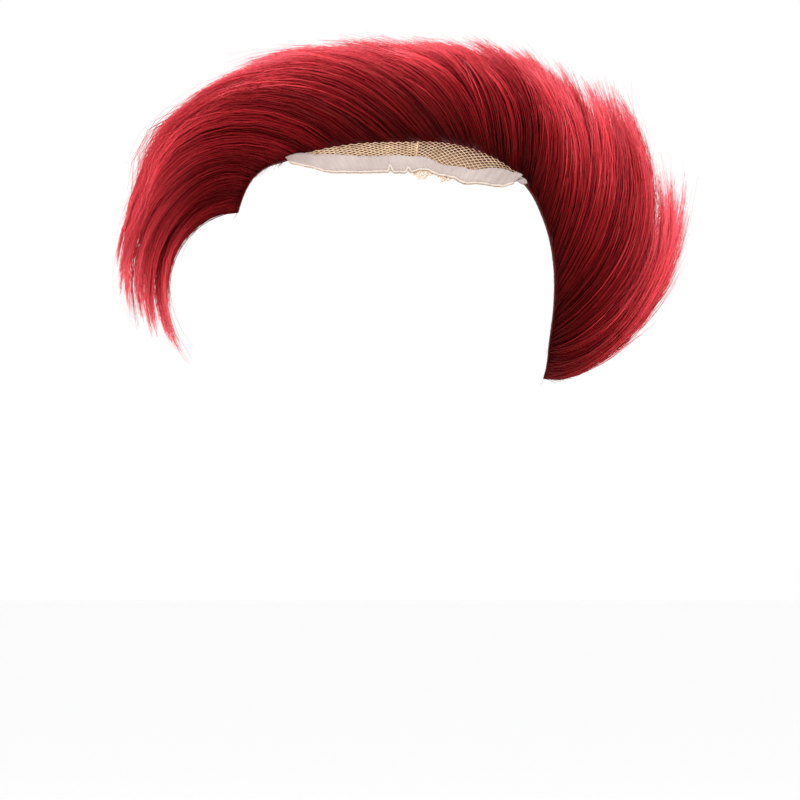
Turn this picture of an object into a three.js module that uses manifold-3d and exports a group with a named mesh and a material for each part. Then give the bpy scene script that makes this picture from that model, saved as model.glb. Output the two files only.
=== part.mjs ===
// Mohawk wig: a crest of red hair on a strip-shaped wig cap. The hair is combed from the nape up over the
// crown and falls forward before the forehead. The cap shows at its sides, as open net edged with white tape.
// Millimetres, +Z up. The face looks along -Y, and the wearer's left side is +X.
// The origin is where the top of the head touches the inside of the cap.

import * as THREE from "three";
import { mergeVertices } from "three/addons/utils/BufferGeometryUtils.js";
import Module from "manifold-3d";

const wasm = await Module();
wasm.setup();

// Driving dimensions

// The head that the cap is sewn to fit, by the angle round the head's middle from the top: negative towards
// the forehead, positive towards the nape. radius is the midline's, sideRadius the curve across the head, and
// hairHalf the hair's half width, along the scalp.
const HEAD = [
  { angle: -69, radius: 102.0, sideRadius: 61.6, hairHalf: 6 },
  { angle: -58, radius: 105.0, sideRadius: 63, hairHalf: 15 },
  { angle: -52, radius: 105.4, sideRadius: 64, hairHalf: 24 },
  { angle: -46, radius: 105.5, sideRadius: 65, hairHalf: 37 },
  { angle: -33, radius: 103.5, sideRadius: 68, hairHalf: 50.5 },
  { angle: -15, radius: 99.5, sideRadius: 72, hairHalf: 57 },
  { angle: 0, radius: 97.4, sideRadius: 73.5, hairHalf: 57.8 },
  { angle: 15, radius: 98.0, sideRadius: 74, hairHalf: 54.8 },
  { angle: 30, radius: 98.6, sideRadius: 74, hairHalf: 49 },
  { angle: 45, radius: 99.4, sideRadius: 73, hairHalf: 43 },
  { angle: 56, radius: 99.2, sideRadius: 72.5, hairHalf: 39.5 },
  { angle: 68, radius: 98.7, sideRadius: 71.9, hairHalf: 39.5 },
  { angle: 88, radius: 97.0, sideRadius: 70.8, hairHalf: 36 },
  { angle: 102, radius: 96.4, sideRadius: 69.7, hairHalf: 31 },
  { angle: 115, radius: 98.4, sideRadius: 67.6, hairHalf: 25 },
  { angle: 126, radius: 101.8, sideRadius: 65.8, hairHalf: 10 },
];
const HEAD_CENTRE_Z = -97.4;
const HEAD_STEPS = 22; // facets along the midline, shared by the weft panel and what lies on it
const STRIP_HALF_ROWS = 3; // facets from the midline to the edge of the hair

// How the hair is combed, by the angle of its root: the angle that its tip reaches, the tip's height above
// the midline of the head, its height half way along, half the width that the tips keep between them, and how
// late it sweeps forward: above 1 it first stands up from the scalp, and below 1 it lies down at once.
const COMB = [
  { root: -69, tip: -113, lift: 30, belly: 33, ridge: 12, lag: 1.3 },
  { root: -60, tip: -105.5, lift: 45.5, belly: 38, ridge: 20, lag: 1.4 },
  { root: -54, tip: -101, lift: 53.5, belly: 42, ridge: 24, lag: 1.4 },
  { root: -47, tip: -95, lift: 61.5, belly: 46.5, ridge: 27, lag: 1.25 },
  { root: -29, tip: -76, lift: 57, belly: 49, ridge: 26, lag: 1.02 },
  { root: -5, tip: -60.5, lift: 58, belly: 39, ridge: 22, lag: 0.88 },
  { root: 12, tip: -39, lift: 49, belly: 32.5, ridge: 19, lag: 0.8 },
  { root: 28, tip: -15, lift: 41.5, belly: 26, ridge: 17, lag: 0.86 },
  { root: 43, tip: 7, lift: 38.5, belly: 32, ridge: 16, lag: 0.8 },
  { root: 60, tip: 25.5, lift: 48, belly: 32.5, ridge: 15, lag: 0.82 },
  { root: 80, tip: 34, lift: 48, belly: 28, ridge: 14, lag: 0.75 },
  { root: 99, tip: 44.5, lift: 61, belly: 33, ridge: 14, lag: 0.78 },
  { root: 113, tip: 53, lift: 66, belly: 41, ridge: 14, lag: 0.97 },
  { root: 119, tip: 66, lift: 60, belly: 44, ridge: 13, lag: 1.15 },
  { root: 126, tip: 70, lift: 79, belly: 41, ridge: 12, lag: 1.25 },
];
const GATHER_LAG = 0.85; // how late it gathers to the ridge
const SIDE_SHORTER = 0.08; // the outermost hair ends this share lower than the middle's

// The hair is sewn on in rows across the head, each ending in pointed locks with clefts between them.
const ROW_ROOTS = [-66.5, -60, -52, -41, -22, -3, 15, 31, 45, 60, 76, 92, 105, 113.5, 119.8, 123.6];
const ROW_CLEFTS = 3;
const ROW_STEPS = 5; // facets from root to tip
const ROW_REACH = 0.97; // of the hair's half width
const ROW_HALF_THICKNESS = 11;
const CLEFT_THICKNESS = 0.5; // against the locks' own thickness
const CLEFT_LENGTH = 0.8;
const LENGTH_SPREAD = 0.1; // locks differ in length by this share
const ROW_ROOT_SWELL = 0.15; // where the root sits on the half wave that a row's thickness follows
const BACKING_THICKNESS = 2.4;
const BACKING_INSET = 1; // from the weft panel's edge

// The hair's sections from front to back, and the angles of the roots where they part
const SECTIONS = ["hair_fringe", "hair_crest", "hair_nape"];
const PARTINGS = [-32, 117];

const CLOTH = 1.2; // the weft panel's thickness
const NET = 1.0; // the side net's thickness
const TAPE = 0.9; // the binding tape's thickness
const GAP = 0.3; // what touching pieces keep between them
const WELD = 1e-4; // corners closer than this are one

// The net's side wings: a rounded flap on each side of the crown, its lower edge a superellipse.
const WING = { middle: 3, halfSpan: 49, base: 40.8, reach: 38, squareness: 2.4 };
const NET_COLUMNS = 24; // half meshes along the wing
const NET_OPEN_ROWS = 4; // half meshes from the hair down to the tape
const NET_HIDDEN_ROWS = 2; // and under the tape
const NET_THREAD_SHARE = 0.3; // of a mesh's size
const NET_END = 3; // degrees that the net stops short of the wing's ends
const NET_LEAST = { open: 2, hidden: 4 }; // how far it still reaches from the hair where the wing runs out
const TAPE_WIDTH = 13;
const TAPE_END = 1.5; // degrees that the tape stops short of the wing's ends
const TAPE_TUCK = 2; // at its ends the tape narrows, and stays this far from the hair's edge
const TAPE_OVERHANG = 0.8; // the tape's edge lies this far past the net's
const TAPE_COLUMNS = 27;
const TAPE_ROWS = [0, 0.4, 0.85, 1]; // across the tape, with the rolled edge in the last step
const TAPE_ROLL = 0.6; // how much thicker the rolled edge is, on each face
// Gathers in the tape: pull draws its edge up, and swell lifts it off the net, over halfWidth degrees
// each way.
const GATHERS = [
  { angle: -31, pull: 0, swell: 0.8, halfWidth: 5 },
  { angle: -7, pull: 5.5, swell: 1.6, halfWidth: 2.6 },
  { angle: 4, pull: 5, swell: 1.2, halfWidth: 4.5 },
  { angle: 16, pull: 3, swell: 0, halfWidth: 9 },
  { angle: 34, pull: -4, swell: 0.9, halfWidth: 8 },
  { angle: 49, pull: 4, swell: 1.4, halfWidth: 3 },
];
const STRAY_NET = { angle: 13, reach: 5.5, halfWidth: 9 }; // net that hangs out below the tape on the left

const HAIR_RED = { color: 0xa31621, roughness: 0.45, metalness: 0 };
const NET_BEIGE = { color: 0xd8b894, roughness: 0.85, metalness: 0 };
const TAPE_WHITE = { color: 0xd8cbc8, roughness: 0.6, metalness: 0 };

// Reads one column of a table at a value of another, smoothly between its rows.
function readTable(table, input, output, value) {
  const last = table.length - 1;
  const clamped = THREE.MathUtils.clamp(value, table[0][input], table[last][input]);
  let low = 0;
  while (low < last - 1 && table[low + 1][input] < clamped) low += 1;
  const slope = (i) => {
    const before = table[Math.max(i - 1, 0)];
    const after = table[Math.min(i + 1, last)];
    return (after[output] - before[output]) / (after[input] - before[input]);
  };
  const [a, b] = [table[low], table[low + 1]];
  const span = b[input] - a[input];
  const t = (clamped - a[input]) / span;
  return (
    a[output] * (1 + 2 * t) * (1 - t) ** 2 +
    slope(low) * span * t * (1 - t) ** 2 +
    b[output] * t * t * (3 - 2 * t) +
    slope(low + 1) * span * t * t * (t - 1)
  );
}

const headAt = (column, angle) => readTable(HEAD, "angle", column, angle);
const combAt = (column, root) => readTable(COMB, "root", column, root);

const firstAngle = HEAD[0].angle;
const lastAngle = HEAD[HEAD.length - 1].angle;
const stepAngle = (step) => THREE.MathUtils.lerp(firstAngle, lastAngle, step / HEAD_STEPS);

// A point by its angle round the head, its distance out from the head's middle, and its place across.
function aroundHead(angle, out, x) {
  const turn = THREE.MathUtils.degToRad(angle);
  return new THREE.Vector3(x, out * Math.sin(turn), HEAD_CENTRE_Z + out * Math.cos(turn));
}

// A point of the scalp, by its angle and its distance across from the midline, raised by a height.
function onHead(angle, across, height) {
  const side = headAt("sideRadius", angle);
  const turn = across / side;
  const out = headAt("radius", angle) - side + (side + height) * Math.cos(turn);
  return aroundHead(angle, out, (side + height) * Math.sin(turn));
}

// A rounded bump of height 1 at the middle, which ends at halfWidth from it.
function bump(value, middle, halfWidth) {
  const t = THREE.MathUtils.clamp((value - middle) / halfWidth, -1, 1);
  return (1 + Math.cos(Math.PI * t)) / 2;
}

// Closed geometry from points and triangles.
function meshOf(points, triangles) {
  const geometry = new THREE.BufferGeometry();
  const numbers = points.flatMap((point) => point.toArray());
  geometry.setAttribute("position", new THREE.Float32BufferAttribute(numbers, 3));
  geometry.setIndex(triangles.flat());
  return geometry;
}

// A cloth wall on the head, from places {angle, across, low, high} on it and the triangles between them,
// counter-clockwise from outside. Edges that only one triangle has are walled.
function clothWall({ places, triangles }) {
  const count = places.length;
  const points = [
    ...places.map((p) => onHead(p.angle, p.across, p.high)),
    ...places.map((p) => onHead(p.angle, p.across, p.low)),
  ];
  const edges = new Set(triangles.flatMap(([a, b, c]) => [`${a},${b}`, `${b},${c}`, `${c},${a}`]));
  const faces = [...triangles, ...triangles.map(([a, b, c]) => [a + count, c + count, b + count])];
  for (const edge of edges) {
    const [a, b] = edge.split(",").map(Number);
    if (edges.has(`${b},${a}`)) continue;
    faces.push([b, a, a + count], [b, a + count, b + count]);
  }
  return meshOf(points, faces);
}

// A grid of places, columns by rows, as a patch for clothWall. placeAt gives the place of each grid point.
function gridPatch(columns, rows, placeAt) {
  const places = [];
  const triangles = [];
  for (let i = 0; i <= columns; i += 1) {
    for (let j = 0; j <= rows; j += 1) {
      places.push(placeAt(i, j));
      if (i === columns || j === rows) continue;
      const corner = i * (rows + 1) + j;
      const next = corner + rows + 1;
      triangles.push([corner, next + 1, next], [corner, corner + 1, next + 1]);
    }
  }
  return { places, triangles };
}

// A closed blade: two faces of columns by rows, walled at the root and the sides, which meet along the last
// row. cornerAt gives a corner of the outer face (1) or the inner one (-1).
function blade(columns, rows, cornerAt) {
  const points = [];
  const triangles = [];
  const index = new Map();
  const corner = (face, i, j) => {
    const key = `${j === rows ? 0 : face},${i},${j}`;
    if (!index.has(key)) index.set(key, points.push(cornerAt(face, i, j)) - 1);
    return index.get(key);
  };
  const quad = (a, b, c, d) => {
    for (const triangle of [[a, b, c], [a, c, d]]) {
      if (new Set(triangle).size === 3) triangles.push(triangle);
    }
  };
  for (let i = 0; i < columns; i += 1) {
    for (let j = 0; j < rows; j += 1) {
      quad(corner(1, i, j), corner(1, i + 1, j), corner(1, i + 1, j + 1), corner(1, i, j + 1));
      quad(corner(-1, i, j), corner(-1, i, j + 1), corner(-1, i + 1, j + 1), corner(-1, i + 1, j));
    }
    quad(corner(1, i, 0), corner(-1, i, 0), corner(-1, i + 1, 0), corner(1, i + 1, 0));
  }
  for (let j = 0; j < rows; j += 1) {
    quad(corner(1, 0, j), corner(1, 0, j + 1), corner(-1, 0, j + 1), corner(-1, 0, j));
    const end = columns;
    quad(corner(1, end, j), corner(-1, end, j), corner(-1, end, j + 1), corner(1, end, j + 1));
  }
  return meshOf(points, triangles);
}

// Conversions between three.js geometry and manifold-3d solids
function solidOf(geometry) {
  const bare = new THREE.BufferGeometry();
  bare.setAttribute("position", geometry.getAttribute("position"));
  bare.setIndex(geometry.getIndex());
  const merged = mergeVertices(bare, WELD);
  return new wasm.Manifold(
    new wasm.Mesh({
      numProp: 3,
      vertProperties: new Float32Array(merged.attributes.position.array),
      triVerts: new Uint32Array(merged.index.array),
    }),
  );
}

function geometryOf(solid) {
  const { vertProperties, triVerts } = solid.getMesh();
  const geometry = new THREE.BufferGeometry();
  geometry.setAttribute("position", new THREE.BufferAttribute(vertProperties, 3));
  geometry.setIndex(new THREE.BufferAttribute(triVerts, 1));
  return geometry;
}

// A strip along the head between two steps of HEAD_STEPS, as wide as the hair less an inset on each side.
function stripPatch(firstStep, lastStep, inset, low, high) {
  const rows = 2 * STRIP_HALF_ROWS;
  return gridPatch(lastStep - firstStep, rows, (i, j) => {
    const angle = stepAngle(firstStep + i);
    return { angle, across: (headAt("hairHalf", angle) - inset) * ((2 * j) / rows - 1), low, high };
  });
}

// The lower edge of a side wing, along the scalp from the midline
function tapeEdge(angle) {
  const reach = Math.min(Math.abs(angle - WING.middle) / WING.halfSpan, 1);
  const rounded = (1 - reach ** WING.squareness) ** (1 / WING.squareness);
  const pulled = GATHERS.reduce((sum, g) => sum + g.pull * bump(angle, g.angle, g.halfWidth), 0);
  return WING.base + WING.reach * rounded - pulled;
}

// A side net: side is 1 on the left and -1 on the right, and stray how far net hangs out below the tape
function sideNet(side, stray) {
  const rows = NET_OPEN_ROWS + NET_HIDDEN_ROWS;
  const first = WING.middle - WING.halfSpan + NET_END;
  const span = 2 * (WING.halfSpan - NET_END);
  const placeAt = (i, j) => {
    const angle = first + (span * i) / NET_COLUMNS;
    const top = headAt("hairHalf", angle) + GAP;
    const hang = stray * bump(angle, STRAY_NET.angle, STRAY_NET.halfWidth);
    const bottom = Math.max(tapeEdge(angle) - TAPE_OVERHANG + hang, top + NET_LEAST.hidden);
    const seam = Math.max(tapeEdge(angle) - TAPE_WIDTH, top + NET_LEAST.open);
    const across =
      j <= NET_OPEN_ROWS
        ? THREE.MathUtils.lerp(top, seam, j / NET_OPEN_ROWS)
        : THREE.MathUtils.lerp(seam, bottom, (j - NET_OPEN_ROWS) / NET_HIDDEN_ROWS);
    return { angle, across: side * across, low: 0, high: NET };
  };
  const places = [];
  const triangles = [];
  const knots = new Map();
  const add = (i, j) => places.push(placeAt(i, j)) - 1;
  const knot = (i, j) => {
    const key = `${i},${j}`;
    if (!knots.has(key)) knots.set(key, add(i, j));
    return knots.get(key);
  };
  const facing = (a, b, c) => triangles.push(side > 0 ? [a, c, b] : [a, b, c]);
  for (let i = 0; i <= NET_COLUMNS; i += 1) {
    for (let j = 0; j <= rows; j += 1) {
      if ((i + j) % 2 === 0) continue; // a knot, not the middle of a mesh
      const round = [[i, j - 1], [i + 1, j], [i, j + 1], [i - 1, j]];
      const inside = round.filter(([k, l]) => k >= 0 && k <= NET_COLUMNS && l >= 0 && l <= rows);
      const rim = inside.map(([k, l]) => knot(k, l));
      if (rim.length === 3) {
        facing(...rim);
      } else if (j >= NET_OPEN_ROWS) {
        facing(rim[0], rim[1], rim[2]);
        facing(rim[0], rim[2], rim[3]);
      } else {
        const inner = round.map(([k, l]) =>
          add(THREE.MathUtils.lerp(k, i, NET_THREAD_SHARE), THREE.MathUtils.lerp(l, j, NET_THREAD_SHARE)),
        );
        rim.forEach((corner, k) => {
          const next = (k + 1) % rim.length;
          facing(corner, rim[next], inner[next]);
          facing(corner, inner[next], inner[k]);
        });
      }
    }
  }
  return clothWall({ places, triangles });
}

// The binding tape along a side wing's lower edge, over the net
function bindingTape(side) {
  const first = WING.middle - WING.halfSpan + TAPE_END;
  const span = 2 * (WING.halfSpan - TAPE_END);
  const lastRow = TAPE_ROWS.length - 1;
  return clothWall(
    gridPatch(TAPE_COLUMNS, lastRow, (i, j) => {
      const angle = first + (span * i) / TAPE_COLUMNS;
      const row = side > 0 ? j : lastRow - j;
      const swell = GATHERS.reduce((sum, g) => sum + g.swell * bump(angle, g.angle, g.halfWidth), 0);
      const roll = row === lastRow ? TAPE_ROLL : 0;
      const low = NET + GAP + TAPE_ROLL + swell * TAPE_ROWS[row];
      const top = Math.max(tapeEdge(angle) - TAPE_WIDTH, headAt("hairHalf", angle) + TAPE_TUCK);
      const across = THREE.MathUtils.lerp(top, tapeEdge(angle), TAPE_ROWS[row]);
      return { angle, across: side * across, low: low - roll, high: low + TAPE + roll };
    }),
  );
}

// The way of a hair from its root (t 0) to its tip (t 1). side is the root's place across, from -1 to 1.
function alongHair(root, side, t) {
  const radius = headAt("sideRadius", root);
  const turn = (side * headAt("hairHalf", root)) / radius;
  const rootX = radius * Math.sin(turn);
  const drop = radius * (1 - Math.cos(turn));
  const [lift, belly] = [combAt("lift", root), combAt("belly", root)];
  const arch = t * (4 * belly - lift) + t * t * (2 * lift - 4 * belly);
  const height = arch * (1 - SIDE_SHORTER * side * side) - drop * (1 - t) ** 2;
  const angle = root + (combAt("tip", root) - root) * t ** combAt("lag", root);
  const x = THREE.MathUtils.lerp(rootX, side * combAt("ridge", root), t ** GATHER_LAG);
  return aroundHead(angle, headAt("radius", angle) + height, x);
}

// A repeatable number from -1 to 1 for a lock
function unevenness(row, column) {
  const mix = { row: 12.9, column: 78.2, scale: 43758.5 };
  const wave = Math.sin(row * mix.row + column * mix.column) * mix.scale;
  return 2 * (wave - Math.floor(wave)) - 1;
}

// The direction that faces out of the sheet of hair rooted at one angle
function outOfHair(root, side, t) {
  const step = 0.02;
  const across = alongHair(root, side + step, t).sub(alongHair(root, side - step, t));
  const along = alongHair(root, side, t + step).sub(alongHair(root, side, t));
  return across.cross(along).normalize();
}

// One row of hair: a curved blade, thickest below the middle, whose two faces meet along its zigzag tips
function hairRow(root, row) {
  const columns = 2 * ROW_CLEFTS;
  const corner = (face, i, j) => {
    const inCleft = i % 2 === 1;
    const side = ROW_REACH * ((2 * i) / columns - 1);
    const length = (inCleft ? CLEFT_LENGTH : 1) * (1 - LENGTH_SPREAD * unevenness(row, i));
    const t = (length * j) / ROW_STEPS;
    const phase = THREE.MathUtils.lerp(ROW_ROOT_SWELL, 1, j / ROW_STEPS);
    const swell = (inCleft ? CLEFT_THICKNESS : 1) * Math.sin(Math.PI * phase);
    const offset = j < ROW_STEPS ? face * ROW_HALF_THICKNESS * swell : 0;
    return alongHair(root, side, t).addScaledVector(outOfHair(root, side, t), offset);
  };
  return solidOf(blade(columns, ROW_STEPS, corner));
}

// The sewn wefts that the rows are fused to, as one thin layer over the weft panel
function backing() {
  const patch = stripPatch(0, HEAD_STEPS, BACKING_INSET, CLOTH, CLOTH + BACKING_THICKNESS);
  return solidOf(clothWall(patch));
}

// A parting: a thin slice across the hair, along the way of the hair rooted at one angle, and from its tip
// straight out
function parting(root) {
  const [depth, past, steps, reach] = [45, 60, 12, 90];
  const path = [aroundHead(root, headAt("radius", root) - depth, 0)];
  for (let k = 0; k <= steps; k += 1) path.push(alongHair(root, 0, k / steps));
  const tipAngle = combAt("tip", root);
  path.push(aroundHead(tipAngle, headAt("radius", tipAngle) + combAt("lift", root) + past, 0));
  const flat = path.map((point) => new THREE.Vector2(point.y, point.z));
  const edges = [1, -1].map((face) =>
    flat.map((point, k) => {
      const along = flat[Math.min(k + 1, steps + 2)].clone().sub(flat[Math.max(k - 1, 0)]).normalize();
      return new THREE.Vector2(-along.y, along.x).multiplyScalar((face * GAP) / 2).add(point);
    }),
  );
  const outline = new THREE.Shape([...edges[0], ...edges[1].reverse()]);
  const slice = new THREE.ExtrudeGeometry(outline, { depth: 2 * reach, bevelEnabled: false });
  const [x, y, z] = [[1, 0, 0], [0, 1, 0], [0, 0, 1]].map((axis) => new THREE.Vector3(...axis));
  slice.applyMatrix4(new THREE.Matrix4().makeBasis(y, z, x)).translate(-reach, 0, 0);
  return solidOf(slice);
}

// All that lies under the hair: the head, the cap and the tape, with the gap that the hair keeps to them
function underHair() {
  const [depth, pastEnds, tapeRoom] = [-30, 3, 3.6];
  const wingSteps = [2, 11, 20, 29, 38]; // past the edge of the hair
  const halfRows = STRIP_HALF_ROWS + wingSteps.length;
  return solidOf(
    clothWall(
      gridPatch(HEAD_STEPS + 2 * pastEnds, 2 * halfRows, (i, j) => {
        const angle = stepAngle(i - pastEnds);
        const half = headAt("hairHalf", angle);
        const row = Math.abs(j - halfRows);
        const onWing = row > STRIP_HALF_ROWS;
        const onStrip = (half * row) / STRIP_HALF_ROWS;
        const wide = onWing ? half + wingSteps[row - STRIP_HALF_ROWS - 1] : onStrip;
        const high = CLOTH + GAP + (onWing ? tapeRoom : 0);
        return { angle, across: Math.sign(j - halfRows) * wide, low: depth, high };
      }),
    ),
  );
}

// The hair, parted into its sections from front to back. Crumbs that a parting leaves are dropped.
function hairSections() {
  const rows = ROW_ROOTS.map(hairRow);
  const fused = rows.reduce((hair, row) => hair.add(row), backing());
  const cuts = [underHair(), ...PARTINGS.map(parting)];
  const hair = cuts.reduce((left, cut) => left.subtract(cut), fused);
  const middleY = (solid) => solid.boundingBox().min[1] + solid.boundingBox().max[1];
  return hair
    .decompose()
    .sort((a, b) => b.volume() - a.volume())
    .slice(0, SECTIONS.length)
    .sort((a, b) => middleY(a) - middleY(b));
}

const wig = new THREE.Group();
function addPiece(name, geometry, finish) {
  const mesh = new THREE.Mesh(geometry, new THREE.MeshStandardMaterial(finish));
  mesh.name = name;
  wig.add(mesh);
}

addPiece("weft_panel", clothWall(stripPatch(0, HEAD_STEPS, 0, 0, CLOTH)), NET_BEIGE);
addPiece("side_net_left", sideNet(1, STRAY_NET.reach), NET_BEIGE);
addPiece("side_net_right", sideNet(-1, 0), NET_BEIGE);
addPiece("edge_tape_left", bindingTape(1), TAPE_WHITE);
addPiece("edge_tape_right", bindingTape(-1), TAPE_WHITE);
hairSections().forEach((solid, k) => addPiece(SECTIONS[k], geometryOf(solid), HAIR_RED));

export default wig;
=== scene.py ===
import bpy
import numpy as np
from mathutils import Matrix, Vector


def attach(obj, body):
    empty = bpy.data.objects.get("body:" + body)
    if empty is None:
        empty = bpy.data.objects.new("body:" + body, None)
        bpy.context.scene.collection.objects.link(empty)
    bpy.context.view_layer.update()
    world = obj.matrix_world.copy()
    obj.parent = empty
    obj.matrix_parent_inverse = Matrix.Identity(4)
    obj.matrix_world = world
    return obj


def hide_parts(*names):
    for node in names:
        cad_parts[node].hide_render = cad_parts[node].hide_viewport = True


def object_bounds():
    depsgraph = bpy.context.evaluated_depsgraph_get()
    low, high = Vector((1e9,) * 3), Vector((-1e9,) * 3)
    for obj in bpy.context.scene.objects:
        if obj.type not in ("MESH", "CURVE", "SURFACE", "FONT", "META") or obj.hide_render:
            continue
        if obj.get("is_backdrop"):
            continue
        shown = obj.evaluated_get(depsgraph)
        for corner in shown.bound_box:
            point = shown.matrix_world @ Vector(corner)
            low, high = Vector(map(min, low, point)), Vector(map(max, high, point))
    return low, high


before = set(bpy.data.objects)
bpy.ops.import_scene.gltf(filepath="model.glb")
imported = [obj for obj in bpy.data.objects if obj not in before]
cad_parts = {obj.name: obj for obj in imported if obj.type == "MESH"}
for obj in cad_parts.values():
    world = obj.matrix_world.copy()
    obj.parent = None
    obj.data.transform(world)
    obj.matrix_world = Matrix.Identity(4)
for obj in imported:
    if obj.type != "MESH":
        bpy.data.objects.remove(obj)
cad_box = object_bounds()

# Lengths are in millimetres and angles in degrees up to Blender's own data, which is in metres.
MM = 0.001
TINY = 1e-9
X_AXIS = np.array([1.0, 0.0, 0.0])

# The inside of the cap, by the angle round its middle from the top, negative towards the front: the
# midline's radius, the radius across it, and the hair's half width along it.
RADIUS, SIDE_RADIUS, HAIR_HALF = 1, 2, 3
CAP = np.array([
    (-69, 102.0, 61.6, 6.0),
    (-58, 105.0, 63.0, 15.0),
    (-52, 105.4, 64.0, 24.0),
    (-46, 105.5, 65.0, 37.0),
    (-33, 103.5, 68.0, 50.5),
    (-15, 99.5, 72.0, 57.0),
    (0, 97.4, 73.5, 57.8),
    (15, 98.0, 74.0, 54.8),
    (30, 98.6, 74.0, 49.0),
    (45, 99.4, 73.0, 43.0),
    (56, 99.2, 72.5, 39.5),
    (68, 98.7, 71.9, 39.5),
    (88, 97.0, 70.8, 36.0),
    (102, 96.4, 69.7, 31.0),
    (115, 98.4, 67.6, 25.0),
    (126, 101.8, 65.8, 10.0),
])
CAP_MIDDLE_Z = -97.4

# How the hair is combed, by the angle of its root: the tip's angle, the tip's height above the cap's midline,
# the height half way along, half the width that the tips keep between them, and how late the hair sweeps
# forward.
TIP, LIFT, BELLY, RIDGE, LAG = 1, 2, 3, 4, 5
COMB = np.array([
    (-69, -110.5, 30, 33, 12, 1.3),
    (-60, -103.5, 45.5, 38, 20, 1.4),
    (-54, -99, 53.5, 42, 24, 1.4),
    (-47, -95, 61.5, 46.5, 27, 1.25),
    (-29, -76, 55.5, 48, 26, 1.02),
    (-5, -60.5, 55.5, 37.5, 22, 0.88),
    (12, -39, 46.5, 31, 19, 0.8),
    (28, -15, 39.5, 25.5, 17, 0.86),
    (43, 7, 37, 31, 16, 0.8),
    (60, 25.5, 46.5, 32.5, 15, 0.82),
    (80, 34, 46, 28, 14, 0.75),
    (99, 44.5, 58, 33, 14, 0.78),
    (113, 53, 64, 41, 14, 0.97),
    (119, 66, 60, 44, 13, 1.15),
    (126, 70, 79, 41, 12, 1.25),
])
GATHER_LAG = 0.85  # how late the hair draws in over the midline
SIDE_SHORTER = 0.08  # the share of its height that the outermost hair lacks
# Where the hair is cut shorter, or is longer where that is below zero, over half_width of its roots each way.
# So it stands apart, as spikes on the crest's back, as a tuft below them, and as that tuft's points.
CUTS = [
    {"root": 82, "half_width": 4, "shorter": 0.05},
    {"root": 88.5, "half_width": 2, "shorter": -0.12},
    {"root": 94, "half_width": 4, "shorter": 0.08},
    {"root": 100, "half_width": 2, "shorter": -0.08},
    {"root": 106, "half_width": 4, "shorter": 0.08},
    {"root": 112.5, "half_width": 2, "shorter": -0.06},
    {"root": 117.4, "half_width": 3.2, "shorter": 0.36},
    {"root": 121.5, "half_width": 0.9, "shorter": 0.12},
    {"root": 124, "half_width": 0.9, "shorter": 0.1},
]

# The hair's pieces: the roots that they span, how many strands they have and how many segments a strand has,
# their locks along and across the cap and how unevenly these lie, the share of strands that are cut shorter,
# how firmly the locks and their wisps hold together at their tips, and how far they bend.
ZONES = [
    {"name": "fringe_strands", "node": "hair_fringe", "roots": (-69, -33), "strands": 3400, "segments": 9,
     "locks": (6, 3), "jitter": (0.2, 0.8), "layered": 0.4, "hold": (0.85, 0.98), "wisp_hold": (0.6, 0.95),
     "bend": 0.65, "seed": 11},
    {"name": "crest_front_strands", "node": "hair_crest", "roots": (-34, 17), "strands": 4000, "segments": 7,
     "locks": (13, 10), "jitter": (0.9, 0.9), "layered": 0.2, "hold": (0.2, 0.7), "wisp_hold": (0.3, 0.85),
     "bend": 1, "seed": 12},
    {"name": "crest_top_strands", "node": "hair_crest", "roots": (10, 66), "strands": 4000, "segments": 7,
     "locks": (13, 10), "jitter": (0.9, 0.9), "layered": 0.2, "hold": (0.2, 0.7), "wisp_hold": (0.3, 0.85),
     "bend": 1, "seed": 13},
    {"name": "crest_back_strands", "node": "hair_crest", "roots": (57, 113), "strands": 4000, "segments": 7,
     "locks": (13, 7), "jitter": (0.35, 0.9), "layered": 0.2, "hold": (0.45, 0.85), "wisp_hold": (0.4, 0.9),
     "bend": 1.2, "seed": 14},
    {"name": "nape_strands", "node": "hair_nape", "roots": (112, 126), "strands": 2500, "segments": 8,
     "locks": (8, 5), "jitter": (0.9, 0.9), "layered": 0.2, "hold": (0.3, 0.8), "wisp_hold": (0.4, 0.9),
     "bend": 1, "seed": 15},
]
WISPS = 7  # in a lock
LOCK_LAG = 2.2  # how late strands draw into their wisp, and wisps into their lock
SIDE_CROWDING = 0.25  # how much thicker strands are sown towards the sides
ROOTS_END = 0.985  # of the hair's half width
STRAND_RADIUS = (0.18, 0.29)
STRAND_SIDES = 3
TAPER = np.array([(0, 0.7), (0.15, 1), (0.6, 0.9), (1, 0.28)])  # the radius along a strand

# How strands differ from lock to lock, from wisp to wisp and one by one. Lengths are shares of the combed
# one, shorter by pointed for each cell from the lock's middle to the wisp. A bend moves the tip, and a bow
# the middle.
LENGTH = {"most": 1.02, "lock": 0.05, "wisp": 0.05, "strand": 0.03, "pointed": 0.1, "layered": (0.5, 0.95),
          "limits": (0.4, 1.12)}
BEND = {"lock": 1.8, "wisp": 1.7, "strand": 1.0}
BOW = {"wisp": 0.8, "strand": 1.3}
TONE = {"middle": 0.5, "lock": 0.18, "wisp": 0.15, "strand": 0.1}
# Strands that leave their lock: their share, and how much longer, more bent and thinner they are
LOOSE = {"share": 0.07, "longer": (0, 0.06), "bend": 4, "radius": 0.5}
# Strands about one root that stand off from the rest, most of all at a place along them
STAND_OFF = {"root": -27, "half_width": 6, "share": 0.14, "along": 0.78, "reach": 0.3, "height": (2.7, 9)}

# The hair's map has a column for each tone, from dark strands to light ones, and brightens upwards
TONES = 64
COLUMN_FILL = 0.9  # the share of its column that a strand takes
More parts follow.
